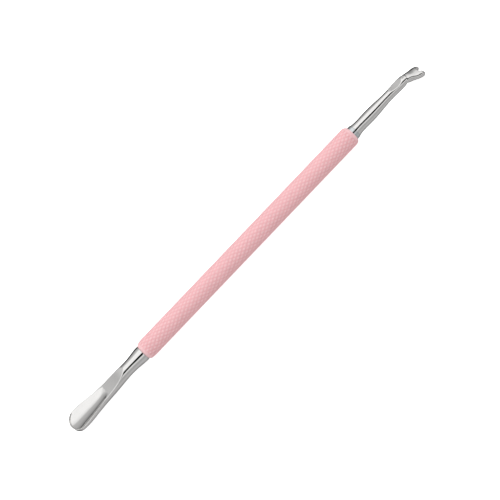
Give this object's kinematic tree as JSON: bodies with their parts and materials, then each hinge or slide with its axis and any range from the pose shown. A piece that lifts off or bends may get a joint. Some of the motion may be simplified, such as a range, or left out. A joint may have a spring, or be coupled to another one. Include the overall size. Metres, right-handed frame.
{
  "type": "cuticle pusher",
  "caption": "Slim double-ended manicure tool with a knurled pink grip, a polished spoon-shaped pusher and a bent notched trimmer.",
  "frame": {"origin": "middle of the grip on its axis", "axes": "+X along the tool towards the trimmer, +Z the side that the spoon's scoop faces"},
  "size_m": [0.1386, 0.0074, 0.0062],
  "materials": {
    "pink_grip": "matte",
    "steel_tube": "drawn",
    "polished_steel": "polished",
    "collar_steel": "turned"
  },
  "bodies": {
    "root": {"grip_sleeve": "pink_grip", "handle_tube": "steel_tube", "pusher_tip": "polished_steel", "trimmer_bush": "collar_steel", "trimmer_tip": "polished_steel"}
  },
  "joints": []
}
